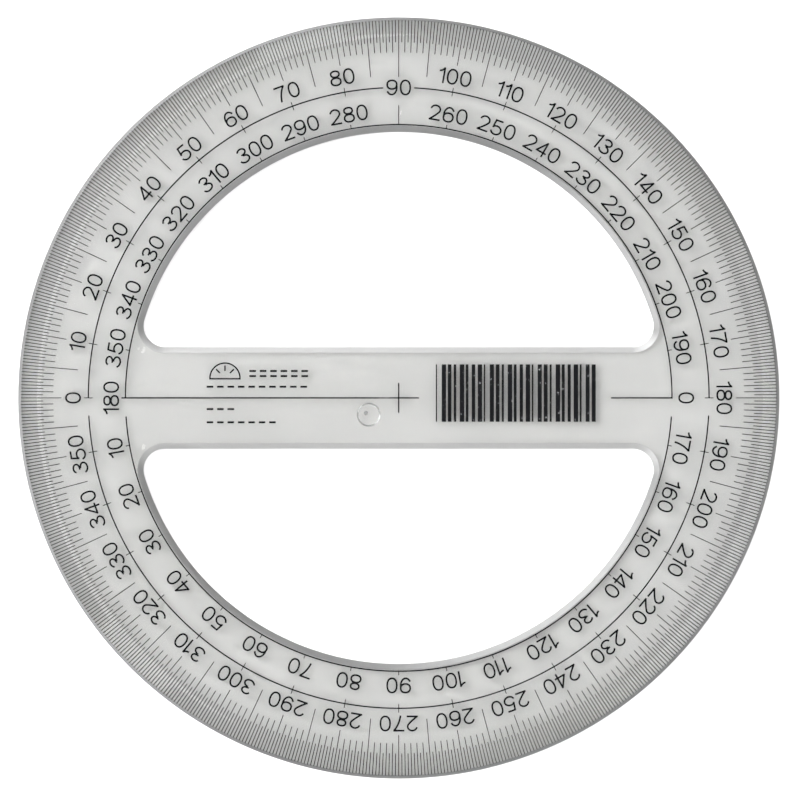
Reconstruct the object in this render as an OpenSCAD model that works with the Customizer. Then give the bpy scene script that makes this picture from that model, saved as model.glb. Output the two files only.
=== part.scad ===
// Full-circle protractor: a clear moulded plate with a double 360 degree scale printed on it.
// Millimetres, +Z up. The origin is the centre of the reading cross, on the flat underside.
// +Y points to the 90 degree mark, and the base line lies along X.
// The plate is a ring and a crossbar in one piece, with two D-shaped windows between them.
// The print is a thin film on the top face, and its ticks run down the bevel to the rim.

/* [Plate] */
// Diameter over the rim
outer_d = 150; // [130:1:200]
// Thickness of the plate
plate_t = 1.8; // [1.2:0.1:3]
// Width of the sloping bevel, measured inwards from the rim
bevel_w = 3.9; // [2:0.1:4.8]
// How much thinner the bevel makes the plate at the rim
bevel_drop = 0.9; // [0.3:0.1:0.9]
// Width of the steep chamfer at the very edge
rim_chamfer_w = 0.6; // [0.2:0.1:0.8]
// Share of the thickness there that the steep chamfer takes away
rim_chamfer_share = 0.7; // [0.2:0.05:0.85]

/* [Windows] */
// Width of the ring, from the rim to the windows
ring_w = 22.6; // [22.6:0.1:28]
// Width of the crossbar between the windows
crossbar_w = 20; // [16:0.5:26]
// Radius of the window corners, seen from above
corner_r = 4.2; // [2:0.1:8]
// Width of the chamfer round the top of the windows, seen from above
chamfer_w = 1.1; // [0.3:0.1:1.1]
// Height of the chamfer
chamfer_h = 0.95; // [0.4:0.05:1.1]

/* [Moulding marks] */
// Diameter of the shallow round dish at the moulding gate
dish_d = 4.7; // [3:0.1:6]
// Depth of the dish
dish_depth = 0.12; // [0.05:0.01:0.3]
// Diameter of the pip in the dish
pip_d = 0.9; // [0.5:0.1:1.5]
// Diameter of the faint round marks that ejector pins leave beside the window corners
pin_mark_d = 2; // [1:0.1:2]
// Diameter of the wider pin mark at the top of the ring
top_mark_d = 3.6; // [2:0.1:3.8]
// Depth of the pin marks
pin_mark_depth = 0.03; // [0.01:0.01:0.1]

/* [Ticks] */
// Thickness of the print on the plate
ink_t = 0.04; // [0.02:0.01:0.1]
// Width of the tick lines and of the marks on the scale circles
tick_w = 0.16; // [0.1:0.01:0.25]
// Length of the half-degree ticks
half_degree_l = 5; // [4.9:0.1:6]
// Length of the degree ticks
degree_l = 7; // [6.1:0.1:8]
// Length of the ten-degree ticks, which stop above their numerals
ten_degree_l = 8.6; // [8.1:0.1:9]
// Length of the five-degree ticks, which reach down between the numerals
five_degree_l = 11.6; // [9:0.1:12.5]

/* [Scale circles] */
// Width of the lines of the two scale circles
circle_w = 0.26; // [0.15:0.01:0.4]
// Distance of the outer scale circle from the rim
outer_circle_inset = 13.9; // [13.4:0.1:14.2]
// Distance of the inner scale circle from the rim
inner_circle_inset = 21.2; // [21:0.1:21.3]
// Length of the cross-marks on the outer scale circle
cross_mark_l = 1.7; // [1:0.1:1.8]
// Length of the short marks that stand on the inner scale circle
short_mark_l = 0.65; // [0.4:0.05:0.8]

/* [Numerals] */
// Height of the numerals
numeral_h = 3.15; // [2.6:0.05:3.2]
// Stroke of the numerals, as a share of their height
stroke_share = 0.11; // [0.08:0.002:0.13]
// Distance of the middle of the outer numerals from the rim
outer_numeral_inset = 10.9; // [10.8:0.1:11.1]
// Distance of the middle of the inner numerals from the rim
inner_numeral_inset = 18.4; // [18.2:0.1:18.5]

/* [Base line and centre] */
// Width of the base line and of the centre cross
base_w = 0.28; // [0.2:0.01:0.5]
// How far the base line runs past the centre cross
base_past_centre = 4; // [2:0.5:6]
// Where the base line starts again to the right of the bar block
base_restart_x = 41.8; // [40:0.1:43]
// Height of the vertical stroke of the centre cross
centre_h = 5.9; // [4:0.1:8]

/* [Plain printed motifs] */
// Number of bars in the bar block
bar_count = 27; // [10:1:30]
// Distance from one bar to the next
bar_pitch = 1.18; // [1.1:0.01:1.2]
// Height of the bars
bar_h = 11.3; // [6:0.1:12]
// Radius of the half-round pictogram
pictogram_r = 3.1; // [2:0.1:3.4]
// Line width of the pictogram and of the ornamental rules
motif_w = 0.28; // [0.2:0.01:0.4]

/* [Hidden] */
$fn = 96;

PLASTIC = [0.82, 0.83, 0.82];
INK = [0.07, 0.07, 0.08];

outer_r = outer_d / 2;
bevel_r = outer_r - bevel_w;
rim_r = outer_r - rim_chamfer_w;
window_r = outer_r - ring_w;

// Each window corner is an arc about a point on this circle, at this height over the base line
core_r = window_r - corner_r;
corner_y = crossbar_w / 2 + corner_r;
corner_x = sqrt(core_r * core_r - corner_y * corner_y);
corner_angle = asin(corner_y / core_r);
cut = 1;

// The dish lies just below the base line, to the left of the centre
dish_x = -5.9;
dish_y = -3.3;
pip_offset = [-0.55, 0.35];
pip_h = 0.08;

// A pin mark stands this far from the chamfer of its window corner, on the diagonal
pin_clearance = 0.3;

// The wider pin mark lies outside the inner scale circle, a little to the left of the 90 line
top_mark_x = -0.9;
top_mark_rise = 2.7;

// The ticks stop a hair short of the chamfer at the edge
tick_end_r = rim_r - 0.03;
outer_circle_r = outer_r - outer_circle_inset;
inner_circle_r = outer_r - inner_circle_inset;

// The outer circle breaks round its 90, and both circles stop short of the base line from below
ninety_gap = 2.85;
outer_gap = 3.25;
inner_gap = 3.9;

// The long tick at 90 and the line below its numeral
ninety_tick_l = 11.85;
ninety_line_top = 17.4;

// Numeral proportions, as shares of the height
digit_w = 0.71;
one_w = 0.37;
digit_gap = 0.13;
arc_steps = 12;
bend_steps = 6;
oval_steps = 20;
oval_power = 2.25;

// Printed motifs on the crossbar
bar_x = 7.3;
bar_y = -4.7;
bar_min_w = 0.24;
bar_max_w = 0.9;
bar_turn = 67;
pictogram_at = [-34.2, 3.9];
rule_x = -37.8;
dash_x = -29.4;

// ---- The moulded plate ----

// Height of the top face at radius r, on the flat or on the bevel
function top_at(r) = r <= bevel_r ? plate_t : plate_t - bevel_drop * (r - bevel_r) / bevel_w;

// Outline of a cutter for a window wall whose foot is r from its axis: upright, then the chamfer
function cutter_profile(r, inner) = [
    [inner, -cut],
    [r, -cut],
    [r, plate_t - chamfer_h],
    [r + chamfer_w, plate_t],
    [r + chamfer_w, plate_t + cut],
    [inner, plate_t + cut]
];

module plate_blank() {
    rotate_extrude($fn = 360)
        polygon([
            [0, 0],
            [outer_r, 0],
            [outer_r, top_at(rim_r) * (1 - rim_chamfer_share)],
            [rim_r, top_at(rim_r)],
            [bevel_r, plate_t],
            [0, plate_t]
        ]);
}

// The part of the window that follows the ring
module window_arc() {
    rotate([0, 0, corner_angle])
        rotate_extrude(angle = 180 - 2 * corner_angle, $fn = 360)
            polygon(cutter_profile(window_r, core_r - corner_r / 2));
}

// One rounded corner, from the foot of the straight side round to the arc
module window_corner() {
    translate([corner_x, corner_y, 0])
        rotate([0, 0, -90])
            rotate_extrude(angle = 90 + corner_angle)
                polygon(cutter_profile(corner_r, 0));
}

// The straight side along the crossbar
module window_side() {
    translate([corner_x, corner_y, 0])
        rotate([0, 0, -90])
            rotate([90, 0, 0])
                linear_extrude(2 * corner_x)
                    polygon(cutter_profile(corner_r, -corner_r / 2));
}

module window_core() {
    translate([0, 0, -cut])
        linear_extrude(plate_t + 2 * cut)
            intersection() {
                circle(r = core_r, $fn = 360);
                translate([-outer_r, corner_y - corner_r / 4])
                    square([outer_d, outer_r]);
            }
}

module window() {
    window_arc();
    window_corner();
    mirror([1, 0, 0]) window_corner();
    window_side();
    window_core();
}

// A round mark sunk into the top face
module sunk_mark(x, y, d, depth) {
    translate([x, y, plate_t - depth])
        cylinder(d = d, h = depth + cut);
}

// The moulding gate leaves a shallow dish, with a low pip in it
module gate_dish() {
    difference() {
        sunk_mark(dish_x, dish_y, dish_d, dish_depth);
        translate([dish_x + pip_offset.x, dish_y + pip_offset.y, plate_t - dish_depth - cut])
            cylinder(d = pip_d, h = cut + pip_h);
    }
}

// One faint pin mark beside each window corner, and a wider one at the top of the ring
module pin_marks() {
    reach = (corner_r + chamfer_w + pin_clearance + pin_mark_d / 2) * cos(45);
    for (side = [-1, 1])
        for (end = [-1, 1])
            sunk_mark(end * (corner_x + reach), side * (corner_y - reach), pin_mark_d, pin_mark_depth);
    sunk_mark(top_mark_x, inner_circle_r + top_mark_rise, top_mark_d, pin_mark_depth);
}

module moulded_plate() {
    color(PLASTIC)
        difference() {
            plate_blank();
            window();
            mirror([0, 1, 0]) window();
            gate_dish();
            pin_marks();
        }
}

// ---- Ticks ----

// One tick: a strip of ink from the rim inwards, lying on the bevel and then on the flat
module tick(angle, length) {
    inner_r = outer_r - length;
    rotate([0, 0, angle])
        rotate([90, 0, 0])
            translate([0, 0, -tick_w / 2])
                linear_extrude(tick_w)
                    polygon([
                        [inner_r, plate_t],
                        [bevel_r, plate_t],
                        [tick_end_r, top_at(tick_end_r)],
                        [tick_end_r, top_at(tick_end_r) + ink_t],
                        [bevel_r, plate_t + ink_t],
                        [inner_r, plate_t + ink_t]
                    ]);
}

module half_degree_ticks() {
    color(INK)
        for (degree = [0:359])
            tick(degree + 0.5, half_degree_l);
}

module degree_ticks() {
    color(INK)
        for (degree = [0:359])
            if (degree % 5 != 0)
                tick(degree, degree_l);
}

module five_degree_ticks() {
    color(INK)
        for (degree = [5:10:355])
            tick(degree, five_degree_l);
}

module ten_degree_ticks() {
    color(INK)
        for (degree = [0:10:350])
            if (degree != 90)
                tick(degree, ten_degree_l);
}

// At 90 the tick is longer, because its numeral sits lower, and a line goes on below the numeral
module ninety_degree_line() {
    line_foot_r = inner_circle_r + circle_w / 2;
    line_top_r = outer_r - ninety_line_top;
    color(INK) {
        tick(90, ninety_tick_l);
        translate([-tick_w / 2, line_foot_r, plate_t])
            cube([tick_w, line_top_r - line_foot_r, ink_t]);
    }
}

// ---- Scale circles ----

// A line along an arc about the centre, from one angle to another
module arc_line(r, from, to) {
    rotate([0, 0, from])
        rotate_extrude(angle = to - from, $fn = 360)
            translate([r - circle_w / 2, plate_t])
                square([circle_w, ink_t]);
}

// A short radial mark
module radial_mark(angle, from_r, to_r) {
    rotate([0, 0, angle])
        translate([from_r, -tick_w / 2, plate_t])
            cube([to_r - from_r, tick_w, ink_t]);
}

// The upper half runs on by half a mark's width, flush with the marks that cross its two ends
module outer_scale_circle() {
    r = outer_circle_r;
    end_angle = asin(tick_w / 2 / r);
    color(INK) {
        arc_line(r, -end_angle, 90 - ninety_gap);
        arc_line(r, 90 + ninety_gap, 180 + end_angle);
        arc_line(r, 180 + outer_gap, 360 - outer_gap);
    }
}

// The marks that cross the outer circle, in two halves that meet its line from either side
module outer_circle_marks() {
    r = outer_circle_r;
    color(INK)
        for (degree = [0:10:350])
            if (degree != 90) {
                radial_mark(degree, r + circle_w / 2, r + cross_mark_l / 2);
                radial_mark(degree, r - cross_mark_l / 2, r - circle_w / 2);
            }
}

// The upper half starts and ends on the base line
module inner_scale_circle() {
    r = inner_circle_r;
    base_angle = asin(base_w / 2 / r);
    color(INK) {
        arc_line(r, base_angle, 180 - base_angle);
        arc_line(r, 180 + inner_gap, 360 - inner_gap);
    }
}

module inner_circle_marks() {
    r = inner_circle_r + circle_w / 2;
    color(INK)
        for (degree = [10:10:350])
            if (degree != 90 && degree != 180)
                radial_mark(degree, r, r + short_mark_l);
}

// ---- Numerals, drawn in a frame one unit high and grown to numeral_h ----

half_stroke = stroke_share / 2;
film = ink_t / numeral_h;

// Points along an arc of an ellipse
function arc_path(centre, rx, ry, from, to) = [
    for (step = [0:arc_steps])
    let (turn = from + (to - from) * step / arc_steps)
    [centre.x + rx * cos(turn), centre.y + ry * sin(turn)]
];

// Points along a curve that leaves a towards b and arrives at c from b, without a itself
function bend_path(a, b, c) = [
    for (step = [1:bend_steps])
    let (t = step / bend_steps)
    (1 - t) * (1 - t) * a + 2 * t * (1 - t) * b + t * t * c
];

function along(path, i) = path[min(i + 1, len(path) - 1)] - path[max(i - 1, 0)];
function beside(path, i, side) =
    let (way = along(path, i) / norm(along(path, i)))
    path[i] + side * half_stroke * [-way.y, way.x];

// A pen line of constant width along a path
module pen(path) {
    last = len(path) - 1;
    linear_extrude(film)
        polygon(concat(
            [for (i = [0:last]) beside(path, i, 1)],
            [for (i = [0:last]) beside(path, last - i, -1)]
        ));
}

// A straight horizontal or upright stroke, from its lower left corner
module bar(x, y, w, h) {
    translate([x, y, 0]) cube([w, h, film]);
}

function signed_power(value, power) = sign(value) * pow(abs(value), power);

// A closed oval a little squarer than an ellipse, of outer half-sizes rx and ry
function oval_points(centre, rx, ry) = [
    for (step = [0:oval_steps - 1])
    let (turn = 360 * step / oval_steps)
    [
        centre.x + rx * signed_power(cos(turn), 2 / oval_power),
        centre.y + ry * signed_power(sin(turn), 2 / oval_power)
    ]
];

module oval_ring(centre, rx, ry) {
    linear_extrude(film)
        difference() {
            polygon(oval_points(centre, rx, ry));
            polygon(oval_points(centre, rx - stroke_share, ry - stroke_share));
        }
}

module digit_0() {
    oval_ring([digit_w / 2, 0.5], digit_w / 2, 0.5);
}

module digit_1() {
    stem_x = one_w - stroke_share;
    bar(stem_x, 0, stroke_share, 1);
    pen(concat([[0, 0.765]], bend_path([0, 0.765], [0.2, 0.765], [stem_x + half_stroke, 0.97])));
}

module digit_2() {
    bowl_y = 0.69;
    bowl = arc_path([0.345, bowl_y], 0.29, 1 - half_stroke - bowl_y, 172, -22);
    pen(concat(bowl, bend_path(bowl[arc_steps], [0.48, 0.4], [0.075, 0.07])));
    bar(0, 0, digit_w - 0.01, stroke_share);
}

module digit_3() {
    top_y = 0.75;
    low_y = 0.285;
    pen(arc_path([0.34, top_y], 0.26, 1 - half_stroke - top_y, 168, -90));
    pen(arc_path([0.34, low_y], 0.31, 0.55 - half_stroke - low_y, 92, -5));
    pen(arc_path([0.34, low_y], 0.31, low_y - half_stroke, 0, -168));
    bar(0.24, 0.502, 0.12, stroke_share * 0.9);
}

module digit_4() {
    bar_y = 0.235;
    stem_x = 0.46;
    bar(0, bar_y, digit_w, stroke_share);
    bar(stem_x, 0, stroke_share, 1);
    pen([[0.05, bar_y + 0.045], [stem_x + half_stroke, 0.96]]);
}

module digit_5() {
    bowl_y = 0.33;
    bar(0.13, 1 - stroke_share, 0.5, stroke_share);
    pen([[0.18, 0.99], [0.105, 0.45]]);
    pen(arc_path([0.335, bowl_y], 0.315, 0.65 - half_stroke - bowl_y, 142, -5));
    pen(arc_path([0.335, bowl_y], 0.315, bowl_y - half_stroke, 0, -166));
}

module digit_6() {
    oval_ring([digit_w / 2, 0.325], digit_w / 2, 0.325);
    arch_x = digit_w / 2 + 0.02;
    pen(arc_path([arch_x, 0.5], arch_x - half_stroke, 0.5 - half_stroke, 200, 32));
}

module digit_7() {
    top = [0.64, 0.93];
    bar(0, 1 - stroke_share, digit_w - 0.02, stroke_share);
    pen(concat([top], bend_path(top, [0.33, 0.6], [0.24, 0])));
}

module digit_8() {
    oval_ring([digit_w / 2, 0.755], 0.315, 0.245);
    oval_ring([digit_w / 2, 0.285], digit_w / 2, 0.285);
}

module digit_9() {
    translate([digit_w, 1, 0]) rotate([0, 0, 180]) digit_6();
}

module digit(value) {
    if (value == 0) digit_0();
    if (value == 1) digit_1();
    if (value == 2) digit_2();
    if (value == 3) digit_3();
    if (value == 4) digit_4();
    if (value == 5) digit_5();
    if (value == 6) digit_6();
    if (value == 7) digit_7();
    if (value == 8) digit_8();
    if (value == 9) digit_9();
}

function digits_of(value) = value < 10 ? [value] : concat(digits_of(floor(value / 10)), [value % 10]);
function width_of(value) = value == 1 ? one_w : digit_w;

// Where digit i of a list starts; one past the last gives the width of the numeral and a gap
function start_of(list, i) = i == 0 ? 0 : start_of(list, i - 1) + width_of(list[i - 1]) + digit_gap;

// A whole numeral, its middle at radius r and its top pointing outwards
module numeral(value, angle, r) {
    list = digits_of(value);
    width = start_of(list, len(list)) - digit_gap;
    rotate([0, 0, angle - 90])
        translate([0, r, plate_t])
            scale(numeral_h)
                for (i = [0:len(list) - 1])
                    translate([start_of(list, i) - width / 2, -0.5, 0])
                        digit(list[i]);
}

// The outer scale counts clockwise from 0 at the left-hand end of the base line
module outer_scale_numerals() {
    color(INK)
        for (angle = [0:10:350]) {
            value = (540 - angle) % 360;
            numeral(value, angle, value == 90 ? outer_circle_r : outer_r - outer_numeral_inset);
        }
}

// The inner scale counts the other way, with 0 at the right-hand end and none at the top
module inner_scale_numerals() {
    color(INK)
        for (angle = [0:10:350])
            if (angle != 90) {
                value = angle % 180 == 0 ? angle : (angle + 180) % 360;
                numeral(value, angle, outer_r - inner_numeral_inset);
            }
}

// ---- Crossbar print ----

module base_line() {
    left_x = -inner_circle_r - circle_w / 2 - short_mark_l;
    right_x = inner_circle_r + circle_w / 2;
    color(INK) {
        translate([left_x, -base_w / 2, plate_t])
            cube([base_past_centre - left_x, base_w, ink_t]);
        translate([base_restart_x, -base_w / 2, plate_t])
            cube([right_x - base_restart_x, base_w, ink_t]);
    }
}

// The upright stroke of the cross, above and below the base line
module centre_cross() {
    half_l = (centre_h - base_w) / 2;
    color(INK)
        for (foot = [base_w / 2, -centre_h / 2])
            translate([-base_w / 2, foot, plate_t])
                cube([base_w, half_l, ink_t]);
}

// A plain half-round scale with three rays
module pictogram() {
    color(INK)
        translate([pictogram_at.x, pictogram_at.y, plate_t])
            linear_extrude(ink_t) {
                intersection() {
                    difference() {
                        circle(r = pictogram_r);
                        circle(r = pictogram_r - motif_w);
                    }
                    translate([-pictogram_r, 0]) square([2 * pictogram_r, pictogram_r]);
                }
                translate([-pictogram_r, -motif_w]) square([2 * pictogram_r, motif_w]);
                for (turn = [45, 90, 135])
                    rotate(turn)
                        translate([pictogram_r * 0.45, -motif_w / 2])
                            square([pictogram_r * 0.35, motif_w]);
            }
}

// Rows of plain dashes and rules beside and below the pictogram
module dash_row(x, y, count, dash_l, dash_gap) {
    for (i = [0:count - 1])
        translate([x + i * (dash_l + dash_gap), y])
            square([dash_l, motif_w * 1.4]);
}

module ornamental_rules() {
    color(INK)
        translate([0, 0, plate_t])
            linear_extrude(ink_t) {
                dash_row(dash_x, 5.1, 6, 1.3, 0.75);
                dash_row(dash_x, 4.1, 6, 1.3, 0.75);
                dash_row(rule_x, 2, 10, 1.3, 0.75);
                dash_row(rule_x, -2.4, 3, 1.3, 0.75);
                dash_row(rule_x, -5, 7, 1.3, 0.75);
            }
}

// Evenly spaced bars whose widths swell and shrink in a fixed rhythm and say nothing
module bar_block() {
    color(INK)
        for (i = [0:bar_count - 1])
            translate([bar_x + i * bar_pitch, bar_y, plate_t])
                cube([bar_min_w + (bar_max_w - bar_min_w) * abs(sin(i * bar_turn)), bar_h, ink_t]);
}

moulded_plate();
half_degree_ticks();
degree_ticks();
five_degree_ticks();
ten_degree_ticks();
ninety_degree_line();
outer_scale_circle();
outer_circle_marks();
inner_scale_circle();
inner_circle_marks();
outer_scale_numerals();
inner_scale_numerals();
base_line();
centre_cross();
pictogram();
ornamental_rules();
bar_block();
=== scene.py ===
"""Full-circle protractor: a clear moulded plate with a printed 360 degree scale.

The CAD print stays as it is and gets ink materials. The plate and the two scale circles are
rebuilt here as finer closed meshes in the same place, with small rounds along their edges.
"""
import math

import bmesh
import bpy
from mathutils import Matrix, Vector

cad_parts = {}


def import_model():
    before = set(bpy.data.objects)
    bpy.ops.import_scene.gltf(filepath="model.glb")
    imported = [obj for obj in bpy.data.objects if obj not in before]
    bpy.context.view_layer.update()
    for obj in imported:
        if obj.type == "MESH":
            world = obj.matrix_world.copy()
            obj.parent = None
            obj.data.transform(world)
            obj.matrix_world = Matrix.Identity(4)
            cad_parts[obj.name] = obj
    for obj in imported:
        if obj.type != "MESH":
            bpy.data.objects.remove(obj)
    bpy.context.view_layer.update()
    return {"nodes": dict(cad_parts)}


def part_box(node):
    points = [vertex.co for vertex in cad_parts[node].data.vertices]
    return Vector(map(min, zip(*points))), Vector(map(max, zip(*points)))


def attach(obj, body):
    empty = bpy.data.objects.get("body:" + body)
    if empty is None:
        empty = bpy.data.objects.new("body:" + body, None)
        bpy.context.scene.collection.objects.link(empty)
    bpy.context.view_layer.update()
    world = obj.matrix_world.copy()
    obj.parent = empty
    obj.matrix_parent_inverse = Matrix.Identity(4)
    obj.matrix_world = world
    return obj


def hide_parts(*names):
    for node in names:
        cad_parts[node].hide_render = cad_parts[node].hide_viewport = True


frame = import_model()

MM = 0.001

# Sizes taken from the CAD boxes
_, plate_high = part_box("moulded_plate")
OUTER_R = plate_high.x
PLATE_T = plate_high.z

# The rim: a bevel, a steep chamfer at the very edge, and what is left upright below it
BEVEL_W = 3.9 * MM
BEVEL_DROP = 0.9 * MM
RIM_CHAMFER_W = 0.6 * MM
UPRIGHT_SHARE = 0.3
RIM_R = OUTER_R - RIM_CHAMFER_W
EDGE_T = PLATE_T - BEVEL_DROP * (RIM_R - OUTER_R + BEVEL_W) / BEVEL_W
UPRIGHT_T = UPRIGHT_SHARE * EDGE_T

# The windows: their radius, their corners and the chamfer round their top
WINDOW_R = OUTER_R - 22.6 * MM
HALF_CROSSBAR_W = 10 * MM
CORNER_R = 4.2 * MM
CORNER_Y = HALF_CROSSBAR_W + CORNER_R
CORE_R = WINDOW_R - CORNER_R
CORNER_X = math.sqrt(CORE_R ** 2 - CORNER_Y ** 2)
CORNER_ANGLE = math.asin(CORNER_Y / CORE_R)
CHAMFER_W = 1.1 * MM
CHAMFER_H = 0.95 * MM

# Rounds along the foot, the chamfers' edges and the ridge where the bevel starts
FOOT_FILLET = 0.12 * MM
RIM_FILLET = 0.2 * MM
WAIST_FILLET = 0.25 * MM
TOP_FILLET = 0.2 * MM
RIDGE_FILLET = 6.0 * MM
FILLET_STEPS = 4
RIDGE_STEPS = 6

# Profile points between which the edge is matt: above the foot's round, up to the shoulder's last
FIRST_MATT = FILLET_STEPS + 1
LAST_MATT = 3 * (FILLET_STEPS + 1) - 1

# Material slots of the plate: polished faces, then three kinds of matt moulded edge, each with a grey
# tint that is painted shade
POLISHED, CHAMFER, RIM, MARK = 0, 1, 2, 3

RING_STEPS = 720
ARC_STEPS_PER_DEGREE = 2
CORNER_STEPS = 26
SIDE_STEPS = 60


# ---------------------------------------------------------------- profiles

def fillet(corner, before, after, radius, steps):
    """A rounded corner of an outline that runs before, corner, after: (r, z) points with normals."""
    def unit(a, b):
        d = (b[0] - a[0], b[1] - a[1])
        n = math.hypot(*d)
        return d[0] / n, d[1] / n
    u, v = unit(before, corner), unit(corner, after)
    turn = math.atan2(u[0] * v[1] - u[1] * v[0], u[0] * v[0] + u[1] * v[1])
    reach = radius * math.tan(abs(turn) / 2)
    start = (corner[0] - u[0] * reach, corner[1] - u[1] * reach)
    side = 1 if turn > 0 else -1
    centre = (start[0] - side * u[1] * radius, start[1] + side * u[0] * radius)
    out = []
    for i in range(steps + 1):
        a = turn * i / steps
        rx, rz = start[0] - centre[0], start[1] - centre[1]
        px = rx * math.cos(a) - rz * math.sin(a)
        pz = rx * math.sin(a) + rz * math.cos(a)
        out.append(((centre[0] + px, centre[1] + pz), (side * px / radius, side * pz / radius)))
    return out


def outer_profile():
    """The rim from the underside round to the flat top: (r, z) points with their normals."""
    foot = (OUTER_R, 0.0)
    waist = (OUTER_R, UPRIGHT_T)
    shoulder = (RIM_R, EDGE_T)
    ridge = (OUTER_R - BEVEL_W, PLATE_T)
    inside = (OUTER_R - 2 * BEVEL_W, PLATE_T)
    under = (OUTER_R - BEVEL_W, 0.0)
    return (
        fillet(foot, under, waist, FOOT_FILLET, FILLET_STEPS)
        + fillet(waist, foot, shoulder, RIM_FILLET, FILLET_STEPS)
        + fillet(shoulder, waist, ridge, RIM_FILLET, FILLET_STEPS)
        + fillet(ridge, shoulder, inside, RIDGE_FILLET, RIDGE_STEPS)
    )


def window_profile():
    """The window's wall from the underside up to the top: (offset, z) points with their normals."""
    foot = (0.0, 0.0)
    waist = (0.0, PLATE_T - CHAMFER_H)
    top = (CHAMFER_W, PLATE_T)
    under = (CHAMFER_W, 0.0)
    inside = (2 * CHAMFER_W, PLATE_T)
    corners = (
        (foot, under, waist, FOOT_FILLET),
        (waist, foot, top, WAIST_FILLET),
        (top, waist, inside, TOP_FILLET),
    )
    points = []
    for corner, before, after, radius in corners:
        rounded = fillet(corner, before, after, radius, FILLET_STEPS)
        points += [(point, (-normal[0], -normal[1])) for point, normal in rounded]
    return points


def window_outline(offset, flip):
    """Points of a D-shaped window grown by offset, with the direction that the offset grows in.

    The outline runs along the ring, round the left corner, along the crossbar and round the right
    corner. Each corner leaves out the point that its neighbour on the ring already has.
    """
    def on_circle(centre_x, centre_y, radius, angle):
        c, s = math.cos(angle), math.sin(angle)
        return centre_x + c * (radius + offset), centre_y + s * (radius + offset), c, s

    sweep = math.pi - 2 * CORNER_ANGLE
    turn = math.pi / 2 + CORNER_ANGLE
    arc_steps = int(math.degrees(sweep) * ARC_STEPS_PER_DEGREE)
    out = [
        on_circle(0.0, 0.0, WINDOW_R, CORNER_ANGLE + sweep * i / arc_steps)
        for i in range(arc_steps + 1)
    ]
    out += [
        on_circle(-CORNER_X, CORNER_Y, CORNER_R, math.pi - CORNER_ANGLE + turn * i / CORNER_STEPS)
        for i in range(1, CORNER_STEPS + 1)
    ]
    out += [
        (CORNER_X * (2 * i / SIDE_STEPS - 1), CORNER_Y - CORNER_R - offset, 0.0, -1.0)
        for i in range(1, SIDE_STEPS)
    ]
    out += [
        on_circle(CORNER_X, CORNER_Y, CORNER_R, -math.pi / 2 + turn * i / CORNER_STEPS)
        for i in range(CORNER_STEPS)
    ]
    return [(x, flip * y, nx, flip * ny) for x, y, nx, ny in out]


class Shell:
    """A mesh under construction that keeps one exact normal for every point."""

    def __init__(self):
        self.mesh = bmesh.new()
        self.normals = []

    def loop(self, points):
        verts = []
        for co, normal in points:
            verts.append(self.mesh.verts.new(co))
            self.normals.append(normal)
        return verts

    def bridge(self, a, b, finish=POLISHED):
        n = len(a)
        for i in range(n):
            j = (i + 1) % n
            self.mesh.faces.new((a[i], a[j], b[j], b[i])).material_index = finish

    def fill(self, loops):
        edges = []
        for verts in loops:
            n = len(verts)
            for i in range(n):
                pair = (verts[i], verts[(i + 1) % n])
                edges.append(self.mesh.edges.get(pair) or self.mesh.edges.new(pair))
        bmesh.ops.triangle_fill(self.mesh, use_beauty=True, use_dissolve=False, edges=edges)

    def finish(self, name, smooth=True):
        self.mesh.verts.index_update()
        bmesh.ops.recalc_face_normals(self.mesh, faces=self.mesh.faces[:])
        data = bpy.data.meshes.new(name)
        self.mesh.to_mesh(data)
        self.mesh.free()
        if smooth:
            data.polygons.foreach_set("use_smooth", [True] * len(data.polygons))
            data.normals_split_custom_set_from_vertices(self.normals)
        piece = bpy.data.objects.new(name, data)
        bpy.context.scene.collection.objects.link(piece)
        return piece


def ring(centre, r, z, slope, steps):
    """A circle of points at height z; slope is dz/dr there, which sets the normals."""
    k = 1 / math.hypot(1, slope)
    out = []
    for i in range(steps):
        a = 2 * math.pi * i / steps
        c, s = math.cos(a), math.sin(a)
        out.append(((centre[0] + r * c, centre[1] + r * s, z), (-slope * c * k, -slope * s * k, k)))
    return out


def dish(shell, centre, r_out, wall, depth, steps, rings=8, finish=POLISHED):
    """Rings of a shallow dish with a soft wall; returns its outer loop and its floor loop."""
    loops = []
    for i in range(rings + 1):
        t = i / rings
        drop = depth * t * t * (3 - 2 * t)
        slope = depth * 6 * t * (1 - t) / wall
        loops.append(shell.loop(ring(centre, r_out - wall * t, PLATE_T - drop, slope, steps)))
    for a, b in zip(loops, loops[1:]):
        shell.bridge(a, b, finish)
    return loops[0], loops[-1]


def dome(shell, centre, r, base, height, rings=7, steps=28):
    """A low rounded pip; returns its foot loop."""
    loops = []
    for i in range(rings):
        t = 1 - i / rings
        z = base + height * (0.5 + 0.5 * math.cos(math.pi * t))
        slope = -height * 0.5 * math.pi / r * math.sin(math.pi * t)
        loops.append(shell.loop(ring(centre, r * t, z, slope, steps)))
    top = shell.loop([((centre[0], centre[1], base + height), (0, 0, 1))])[0]
    for a, b in zip(loops, loops[1:]):
        shell.bridge(a, b, MARK)
    last = loops[-1]
    for i in range(steps):
        shell.mesh.faces.new((last[i], last[(i + 1) % steps], top)).material_index = MARK
    return loops[0]


# The dish at the moulding gate, with its pip
GATE = (-5.9 * MM, -3.3 * MM)
GATE_R = 2.35 * MM
GATE_WALL = 0.34 * MM
GATE_DEPTH = 0.12 * MM
GATE_STEPS = 72
PIP = (GATE[0] - 0.55 * MM, GATE[1] + 0.35 * MM)
PIP_R = 0.45 * MM
PIP_H = 0.08 * MM

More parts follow.
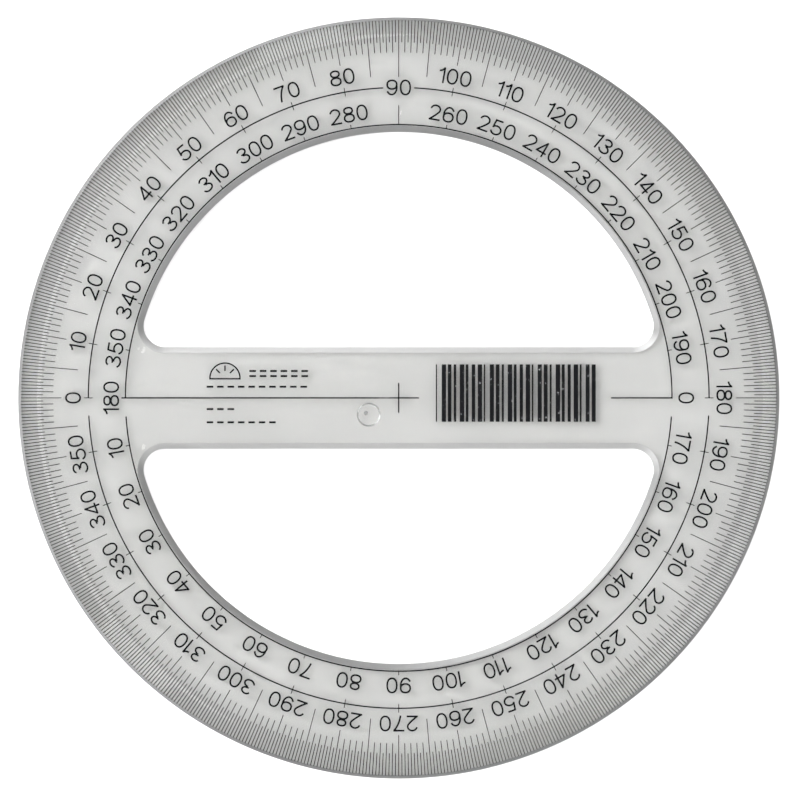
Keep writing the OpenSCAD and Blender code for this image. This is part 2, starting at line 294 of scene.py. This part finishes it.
# The faint pin marks, as (x, y, radius): one beside each window corner and a wider one at the top
PIN_WALL = 0.9 * MM
PIN_DEPTH = 0.03 * MM
PIN_STEPS = 48
PIN_RINGS = 5
PIN_REACH = (CORNER_R + CHAMFER_W + 1.3 * MM) * math.cos(math.pi / 4)
PIN_MARKS = [
    (sx * (CORNER_X + PIN_REACH), sy * (CORNER_Y - PIN_REACH), 1.0 * MM)
    for sx in (-1, 1) for sy in (-1, 1)
] + [(-0.9 * MM, 56.5 * MM, 1.8 * MM)]


def plate():
    """The whole moulding: rim, window walls, gate dish and pin marks, closed by both flat faces."""
    shell = Shell()
    rim = []
    for (r, z), (nr, nz) in outer_profile():
        points = []
        for i in range(RING_STEPS):
            a = 2 * math.pi * i / RING_STEPS
            c, s = math.cos(a), math.sin(a)
            points.append(((r * c, r * s, z), (nr * c, nr * s, nz)))
        rim.append(shell.loop(points))
    for i in range(len(rim) - 1):
        shell.bridge(rim[i], rim[i + 1], RIM if FIRST_MATT <= i < LAST_MATT else POLISHED)
    low, high = [rim[0]], [rim[-1]]
    for flip in (1, -1):
        wall = []
        for (offset, z), (no, nz) in window_profile():
            wall.append(shell.loop([
                ((x, y, z), (no * nx, no * ny, nz)) for x, y, nx, ny in window_outline(offset, flip)
            ]))
        for i in range(len(wall) - 1):
            shell.bridge(wall[i], wall[i + 1], CHAMFER if i >= FIRST_MATT else POLISHED)
        low.append(wall[0])
        high.append(wall[-1])
    edge, base = dish(shell, GATE, GATE_R, GATE_WALL, GATE_DEPTH, GATE_STEPS, finish=MARK)
    pip = dome(shell, PIP, PIP_R, PLATE_T - GATE_DEPTH, PIP_H)
    shell.fill([base, pip])
    high.append(edge)
    for x, y, r in PIN_MARKS:
        edge, base = dish(shell, (x, y), r, PIN_WALL, PIN_DEPTH, PIN_STEPS, rings=PIN_RINGS)
        shell.fill([base])
        high.append(edge)
    shell.fill(low)
    shell.fill(high)
    return shell.finish("clear_plate")


# ---------------------------------------------------------------- scale circles

INK_T = 0.04 * MM
CIRCLE_W = 0.26 * MM
TICK_W = 0.16 * MM
BASE_W = 0.28 * MM
INK_EDGE = 0.012 * MM
INK_STEPS_PER_DEGREE = 3
FEWEST_INK_STEPS = 8


def arc_band(shell, r, start, end):
    """A closed band of ink along an arc, with softened top edges and square ends."""
    steps = max(FEWEST_INK_STEPS, int((end - start) * INK_STEPS_PER_DEGREE))
    profile = [
        (r - CIRCLE_W / 2, PLATE_T),
        (r - CIRCLE_W / 2, PLATE_T + INK_T - INK_EDGE),
        (r - CIRCLE_W / 2 + INK_EDGE, PLATE_T + INK_T),
        (r + CIRCLE_W / 2 - INK_EDGE, PLATE_T + INK_T),
        (r + CIRCLE_W / 2, PLATE_T + INK_T - INK_EDGE),
        (r + CIRCLE_W / 2, PLATE_T),
    ]
    sections = []
    for i in range(steps + 1):
        a = math.radians(start + (end - start) * i / steps)
        c, s = math.cos(a), math.sin(a)
        sections.append([shell.mesh.verts.new((pr * c, pr * s, z)) for pr, z in profile])
    for a, b in zip(sections, sections[1:]):
        shell.bridge(a, b)
    shell.mesh.faces.new(sections[0])
    shell.mesh.faces.new(list(reversed(sections[-1])))


def scale_circle(name, r, spans):
    """All the arcs of one scale circle, as one piece."""
    shell = Shell()
    for start, end in spans:
        arc_band(shell, r, start, end)
    return shell.finish(name, smooth=False)


# ---------------------------------------------------------------- materials

def new_material(name):
    """A material with its nodes, its links and its shader."""
    material = bpy.data.materials.new(name)
    material.use_nodes = True
    nodes = material.node_tree.nodes
    return material, nodes, material.node_tree.links, nodes["Principled BSDF"]


def noise(nodes, links, coords, scale, detail=2.0, roughness=0.5):
    tex = nodes.new("ShaderNodeTexNoise")
    tex.inputs["Scale"].default_value = scale
    tex.inputs["Detail"].default_value = detail
    tex.inputs["Roughness"].default_value = roughness
    links.new(coords, tex.inputs["Vector"])
    return tex.outputs["Fac"]


def remap(nodes, links, value, low, high, to_low, to_high):
    node = nodes.new("ShaderNodeMapRange")
    limits = {"From Min": low, "From Max": high, "To Min": to_low, "To Max": to_high}
    for name, number in limits.items():
        node.inputs[name].default_value = number
    links.new(value, node.inputs["Value"])
    return node.outputs["Result"]


def stretched(nodes, links, coords, scale, turn):
    node = nodes.new("ShaderNodeMapping")
    node.inputs["Scale"].default_value = scale
    node.inputs["Rotation"].default_value = (0, 0, turn)
    links.new(coords, node.inputs["Vector"])
    return node.outputs["Vector"]


def math_node(nodes, links, operation, a, b):
    node = nodes.new("ShaderNodeMath")
    node.operation = operation
    for socket, value in zip(node.inputs, (a, b)):
        if isinstance(value, (int, float)):
            socket.default_value = value
        else:
            links.new(value, socket)
    return node.outputs["Value"]


PLASTIC_IOR = 1.49

# Directions of hairline scratch: a turn in radians, and noise scales that draw it out into lines
SCRATCHES = ((0.5, (60, 2600, 60)), (-0.9, (50, 2200, 50)), (1.9, (70, 3000, 70)))
SCRATCH_DEPTH = -0.02

# Distances from the base line between which the crossbar's lighter tint gives way to the window
# chamfer's darker one: the chamfer's dark tint is painted shade, eased off beside the crossbar
CROSSBAR_SHADE_EASE = (10.2 * MM, 13.5 * MM)


def clear_plastic():
    """Clear plastic with a faint grey cast, slow waviness and three directions of hairline scratch."""
    material, nodes, links, shader = new_material("clear_moulded_plastic")
    coords = nodes.new("ShaderNodeTexCoord").outputs["Object"]
    shader.inputs["Transmission Weight"].default_value = 1.0
    shader.inputs["IOR"].default_value = PLASTIC_IOR
    tint = nodes.new("ShaderNodeMix")
    tint.data_type = "RGBA"
    tint.inputs["A"].default_value = (0.81, 0.81, 0.80, 1)
    tint.inputs["B"].default_value = (0.84, 0.84, 0.83, 1)
    cloud = noise(nodes, links, coords, 28, 3)
    links.new(remap(nodes, links, cloud, 0.3, 0.7, 0, 1), tint.inputs["Factor"])
    links.new(tint.outputs["Result"], shader.inputs["Base Color"])
    haze = noise(nodes, links, coords, 220, 4, 0.6)
    links.new(remap(nodes, links, haze, 0.35, 0.75, 0.02, 0.09), shader.inputs["Roughness"])
    scratch_sum = None
    for turn, scale in SCRATCHES:
        lines = noise(nodes, links, stretched(nodes, links, coords, scale, turn), 1.0, 1)
        fine = remap(nodes, links, lines, 0.70, 0.76, 0, 1)
        if scratch_sum is None:
            scratch_sum = fine
        else:
            scratch_sum = math_node(nodes, links, "ADD", scratch_sum, fine)
    flow = noise(nodes, links, coords, 45, 2)
    scratches = math_node(nodes, links, "MULTIPLY", scratch_sum, SCRATCH_DEPTH)
    height = math_node(nodes, links, "ADD", flow, scratches)
    bump = nodes.new("ShaderNodeBump")
    bump.inputs["Strength"].default_value = 0.05
    bump.inputs["Distance"].default_value = 0.0002
    links.new(height, bump.inputs["Height"])
    links.new(bump.outputs["Normal"], shader.inputs["Normal"])
    return material


def matt_plastic(name, low, high, clear, rough, crossbar=None):
    """Finely frosted plastic between two tints, with an optional third beside the crossbar. The grey
    tints are painted shade that darkens the edge all round, and the lighter third eases that painted
    shade off beside the crossbar.
    """
    material, nodes, links, shader = new_material(name)
    coords = nodes.new("ShaderNodeTexCoord").outputs["Object"]
    shader.inputs["Transmission Weight"].default_value = clear
    shader.inputs["IOR"].default_value = PLASTIC_IOR
    tint = nodes.new("ShaderNodeMix")
    tint.data_type = "RGBA"
    tint.inputs["A"].default_value = (*low, 1)
    tint.inputs["B"].default_value = (*high, 1)
    mottle = noise(nodes, links, coords, 900, 3)
    links.new(remap(nodes, links, mottle, 0.3, 0.7, 0, 1), tint.inputs["Factor"])
    colour = tint.outputs["Result"]
    # Painted shade eased off: the tint turns lighter beside the crossbar
    if crossbar:
        split = nodes.new("ShaderNodeSeparateXYZ")
        links.new(coords, split.inputs["Vector"])
        away = math_node(nodes, links, "ABSOLUTE", split.outputs["Y"], 0.0)
        shade_ease = nodes.new("ShaderNodeMix")
        shade_ease.data_type = "RGBA"
        shade_ease.inputs["B"].default_value = (*crossbar, 1)
        links.new(colour, shade_ease.inputs["A"])
        links.new(remap(nodes, links, away, *CROSSBAR_SHADE_EASE, 1, 0), shade_ease.inputs["Factor"])
        colour = shade_ease.outputs["Result"]
    links.new(colour, shader.inputs["Base Color"])
    shader.inputs["Specular IOR Level"].default_value = 1.0
    grain = noise(nodes, links, coords, 2500, 3)
    links.new(remap(nodes, links, grain, 0.3, 0.7, rough, rough + 0.08), shader.inputs["Roughness"])
    bump = nodes.new("ShaderNodeBump")
    bump.inputs["Strength"].default_value = 0.12
    bump.inputs["Distance"].default_value = 0.00001
    links.new(noise(nodes, links, coords, 5000, 3), bump.inputs["Height"])
    links.new(bump.outputs["Normal"], shader.inputs["Normal"])
    return material


def rubbed_stretch(nodes, links, coords, middle, half, amount):
    """Extra wear along X, amount at the middle of a stretch and none outside it."""
    split = nodes.new("ShaderNodeSeparateXYZ")
    links.new(coords, split.inputs["Vector"])
    offset = math_node(nodes, links, "SUBTRACT", split.outputs["X"], middle)
    away = math_node(nodes, links, "ABSOLUTE", offset, 0.0)
    return remap(nodes, links, away, 0.7 * half, 1.2 * half, amount, 0)


BLACK = (0.004, 0.004, 0.005)


def ink(name, worn, wear, rubbed=None):
    """Matt black ink with pale worn specks where the noise passes wear."""
    material, nodes, links, shader = new_material(name)
    coords = nodes.new("ShaderNodeTexCoord").outputs["Object"]
    patches = noise(nodes, links, coords, 1500, 3, 0.6)
    if rubbed:
        extra = rubbed_stretch(nodes, links, coords, *rubbed)
        patches = math_node(nodes, links, "ADD", patches, extra)
    mix = nodes.new("ShaderNodeMix")
    mix.data_type = "RGBA"
    mix.inputs["A"].default_value = (*BLACK, 1)
    mix.inputs["B"].default_value = (*worn, 1)
    links.new(remap(nodes, links, patches, wear, wear + 0.05, 0, 1), mix.inputs["Factor"])
    links.new(mix.outputs["Result"], shader.inputs["Base Color"])
    dullness = noise(nodes, links, coords, 900, 2)
    links.new(remap(nodes, links, dullness, 0.3, 0.7, 0.35, 0.6), shader.inputs["Roughness"])
    shader.inputs["Specular IOR Level"].default_value = 0.05
    bump = nodes.new("ShaderNodeBump")
    bump.inputs["Strength"].default_value = 0.3
    bump.inputs["Distance"].default_value = 0.00001
    links.new(noise(nodes, links, coords, 6000, 2), bump.inputs["Height"])
    links.new(bump.outputs["Normal"], shader.inputs["Normal"])
    return material


def grey(level):
    return level, level, level


def dress(piece, *materials):
    """Gives a piece its materials and leaves each face its slot."""
    slots = [polygon.material_index for polygon in piece.data.polygons]
    piece.data.materials.clear()
    for material in materials:
        piece.data.materials.append(material)
    piece.data.polygons.foreach_set("material_index", slots)


# ---------------------------------------------------------------- the object

plate_piece = plate()
dress(
    plate_piece,
    clear_plastic(),
    # The window chamfer's dark grey tint is painted shade all round; the lamps lift the chamfers that
    # face them, and the tint is lighter beside the crossbar
    matt_plastic(
        "window_chamfer_painted_shade", grey(0.19), grey(0.21), clear=0.70, rough=0.34, crossbar=grey(0.40)
    ),
    # The rim's near-black tint is painted shade all round the rim band; the lamps lift the side that
    # faces them
    matt_plastic("rim_edge_painted_shade", grey(0.08), grey(0.095), clear=0.5, rough=0.30),
    # The gate dish's grey tint is painted shade that darkens the dish and its pip
    matt_plastic("gate_mark_painted_shade", grey(0.22), grey(0.26), clear=0.65, rough=0.10),
)
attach(plate_piece, "root")
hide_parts("moulded_plate")

# The rubbed stretch of base line: its middle, half its length and the wear it adds
RUBBED = (-2.3 * MM, 1.8 * MM, 0.30)
print_ink = ink("print_ink", worn=grey(0.35), wear=0.80)
inks = {
    "bar_block": ink("worn_bar_ink", worn=grey(0.45), wear=0.66),
    "base_line": ink("rubbed_line_ink", worn=grey(0.16), wear=0.80, rubbed=RUBBED),
}

OUTER_CIRCLE_R = OUTER_R - 13.9 * MM
INNER_CIRCLE_R = OUTER_R - 21.2 * MM

# Degrees by which the circles break round the 90 and stop short of the base line from below
NINETY_GAP = 2.85
OUTER_GAP = 3.25
INNER_GAP = 3.9
outer_end = math.degrees(math.asin(TICK_W / 2 / OUTER_CIRCLE_R))
inner_end = math.degrees(math.asin(BASE_W / 2 / INNER_CIRCLE_R))
circles = {
    "outer_scale_circle": (OUTER_CIRCLE_R, [
        (-outer_end, 90 - NINETY_GAP),
        (90 + NINETY_GAP, 180 + outer_end),
        (180 + OUTER_GAP, 360 - OUTER_GAP),
    ]),
    "inner_scale_circle": (INNER_CIRCLE_R, [
        (inner_end, 180 - inner_end),
        (180 + INNER_GAP, 360 - INNER_GAP),
    ]),
}
for node_name, (radius, spans) in circles.items():
    piece = scale_circle(node_name.replace("scale_circle", "circle_line"), radius, spans)
    dress(piece, print_ink)
    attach(piece, "root")
    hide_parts(node_name)

for node_name, node in frame["nodes"].items():
    if node_name != "moulded_plate" and node_name not in circles:
        dress(node, inks.get(node_name, print_ink))


# ---------------------------------------------------------------- the stage

FLOOR_HALF = 3.0
FLOOR_GAP = 0.06 * MM


def floor():
    """Plain pale paper, a hair below the plate."""
    data = bpy.data.meshes.new("floor")
    corners = [(-1, -1), (1, -1), (1, 1), (-1, 1)]
    points = [(x * FLOOR_HALF, y * FLOOR_HALF, -FLOOR_GAP) for x, y in corners]
    data.from_pydata(points, [], [(0, 1, 2, 3)])
    piece = bpy.data.objects.new("floor", data)
    bpy.context.scene.collection.objects.link(piece)
    material, nodes, links, shader = new_material("floor_paper")
    shader.inputs["Base Color"].default_value = (0.9, 0.9, 0.9, 1)
    shader.inputs["Roughness"].default_value = 0.9
    shader.inputs["Specular IOR Level"].default_value = 0.1
    data.materials.append(material)


def area_light(name, azimuth, elevation, distance, size, power):
    """A soft light aimed at the origin, placed by its direction in degrees and its distance."""
    data = bpy.data.lights.new(name, "AREA")
    data.shape = "RECTANGLE"
    data.size, data.size_y = size
    data.energy = power
    lamp = bpy.data.objects.new(name, data)
    a, e = math.radians(azimuth), math.radians(elevation)
    reach = distance * math.cos(e)
    lamp.location = (reach * math.cos(a), reach * math.sin(a), distance * math.sin(e))
    lamp.visible_camera = False
    lamp.rotation_mode = "QUATERNION"
    lamp.rotation_quaternion = lamp.location.to_track_quat("Z", "Y")
    bpy.context.scene.collection.objects.link(lamp)


# The camera looks straight down from this height at a view of this width on the plate's top
CAMERA_AT = (0.256 * MM, -0.413 * MM, 1.5)
VIEW_W = 157.48 * MM
SENSOR_W = 36


def camera():
    data = bpy.data.cameras.new("camera")
    data.sensor_width = SENSOR_W
    data.lens = SENSOR_W * (CAMERA_AT[2] - PLATE_T) / VIEW_W
    data.clip_start = 0.05
    data.clip_end = 20
    cam = bpy.data.objects.new("camera", data)
    cam.location = CAMERA_AT
    bpy.context.scene.collection.objects.link(cam)
    bpy.context.scene.camera = cam


def world():
    """A dim even studio round the lights."""
    w = bpy.data.worlds.new("studio")
    w.use_nodes = True
    background = w.node_tree.nodes["Background"]
    background.inputs["Color"].default_value = (1, 1, 1, 1)
    background.inputs["Strength"].default_value = 0.2
    bpy.context.scene.world = w


# The key comes from the upper left. The overhead panel draws the highlight along the bevel's ridge,
# the two low strips light the chamfers that face them, and the fill lifts the side away from the key.
floor()
world()
area_light("key_softbox", azimuth=152, elevation=38, distance=1.2, size=(0.9, 0.8), power=27)
area_light("overhead_panel", azimuth=165, elevation=77, distance=1.5, size=(1.6, 0.37), power=7)
area_light("low_strip_left", azimuth=205, elevation=4.5, distance=1.5, size=(1.7, 0.18), power=34)
area_light("low_strip_back", azimuth=122, elevation=4.5, distance=1.5, size=(1.7, 0.18), power=34)
area_light("fill_panel", azimuth=-35, elevation=40, distance=0.75, size=(0.4, 0.4), power=4.5)
camera()
bpy.context.scene.view_settings.view_transform = "Standard"
